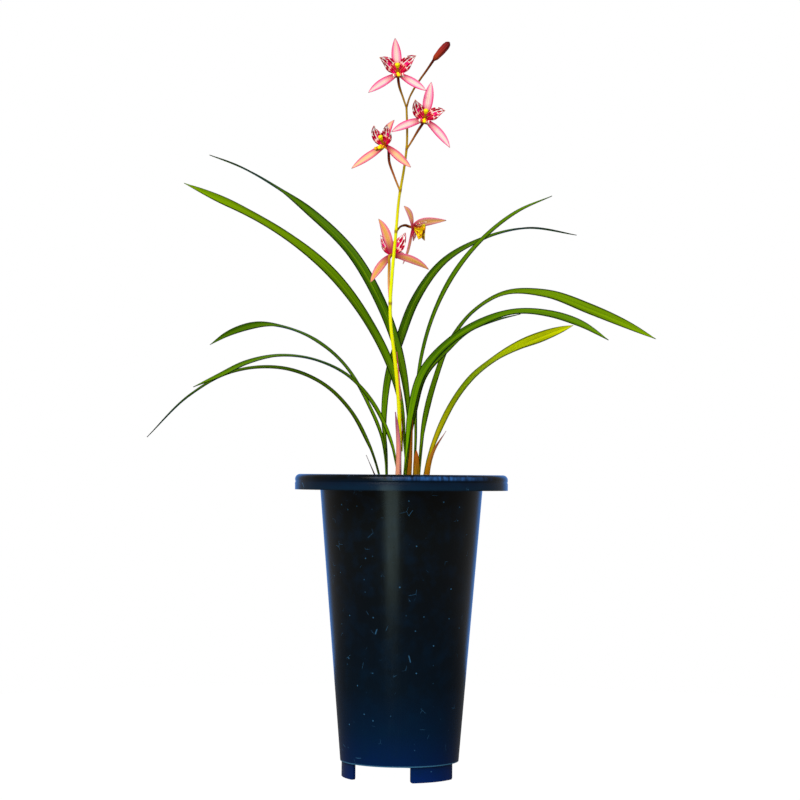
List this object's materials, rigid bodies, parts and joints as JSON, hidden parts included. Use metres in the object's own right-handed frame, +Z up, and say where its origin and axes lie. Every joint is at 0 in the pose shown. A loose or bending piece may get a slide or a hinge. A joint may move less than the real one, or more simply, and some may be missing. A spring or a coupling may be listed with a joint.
{
  "type": "potted four-season orchid",
  "caption": "Terrestrial orchid with arching strap leaves and an upright spray of pink star-shaped flowers, standing in bark mix in a tall tapered black pot.",
  "frame": {"origin": "on the ground at the pot's axis, within a millimetre or two of the centre of the whole plant's box", "axes": "+Z up along the pot's axis; the plant is seen best from -Y, with +X to the right"},
  "size_m": [0.4454, 0.3387, 0.6377],
  "materials": {
    "pot_plastic": "moulded polypropylene, satin black",
    "bark_mix": "rough chips of pine bark, dry",
    "plant_base": "ribbed dry skin",
    "leaf_green": "waxy, lengthwise veins",
    "leaf_pale": "waxy, yellowing, lengthwise veins",
    "dry_sheath": "dry papery skin",
    "flower_stem": "smooth and fleshy",
    "stem_bract": "thin papery skin with veins",
    "flower_stalk": "smooth and fleshy",
    "sepal": "soft petal skin with fine veins",
    "petal": "soft petal skin with dashes of crimson",
    "lip": "fleshy, blotched",
    "column": "smooth and fleshy",
    "bud": "smooth and fleshy with lengthwise lines"
  },
  "bodies": {
    "root": {"pot": "pot_plastic", "growing_mix": "bark_mix", "pseudobulbs_and_roots": "plant_base", "leaf_left_upper": "leaf_green", "leaf_left_broad": "leaf_green", "leaf_left_middle": "leaf_green", "leaf_left_front": "leaf_green", "leaf_left_low": "leaf_green", "leaf_right_upper": "leaf_green", "leaf_right_slim": "leaf_green", "leaf_right_front": "leaf_green", "leaf_right_short": "leaf_green", "leaf_right_broad": "leaf_green", "leaf_right_pale": "leaf_pale", "dry_sheath_1": "dry_sheath", "dry_sheath_2": "dry_sheath", "dry_sheath_3": "dry_sheath", "dry_sheath_4": "dry_sheath", "dry_sheath_5": "dry_sheath", "scape": "flower_stem", "scape_bract_1": "stem_bract", "scape_bract_2": "stem_bract", "scape_bract_3": "stem_bract", "flower_1_stalk": "flower_stalk", "flower_1_sepals": "sepal", "flower_1_petals": "petal", "flower_1_lip": "lip", "flower_1_column": "column", "flower_2_stalk": "flower_stalk", "flower_2_sepals": "sepal", "flower_2_petals": "petal", "flower_2_lip": "lip", "flower_2_column": "column", "flower_3_stalk": "flower_stalk", "flower_3_sepals": "sepal", "flower_3_petals": "petal", "flower_3_lip": "lip", "flower_3_column": "column", "flower_4_stalk": "flower_stalk", "flower_4_sepals": "sepal", "flower_4_petals": "petal", "flower_4_lip": "lip", "flower_4_column": "column", "flower_5_stalk": "flower_stalk", "flower_5_sepals": "sepal", "flower_5_petals": "petal", "flower_5_lip": "lip", "flower_5_column": "column", "bud_stalk": "flower_stalk", "bud": "bud"}
  },
  "joints": []
}
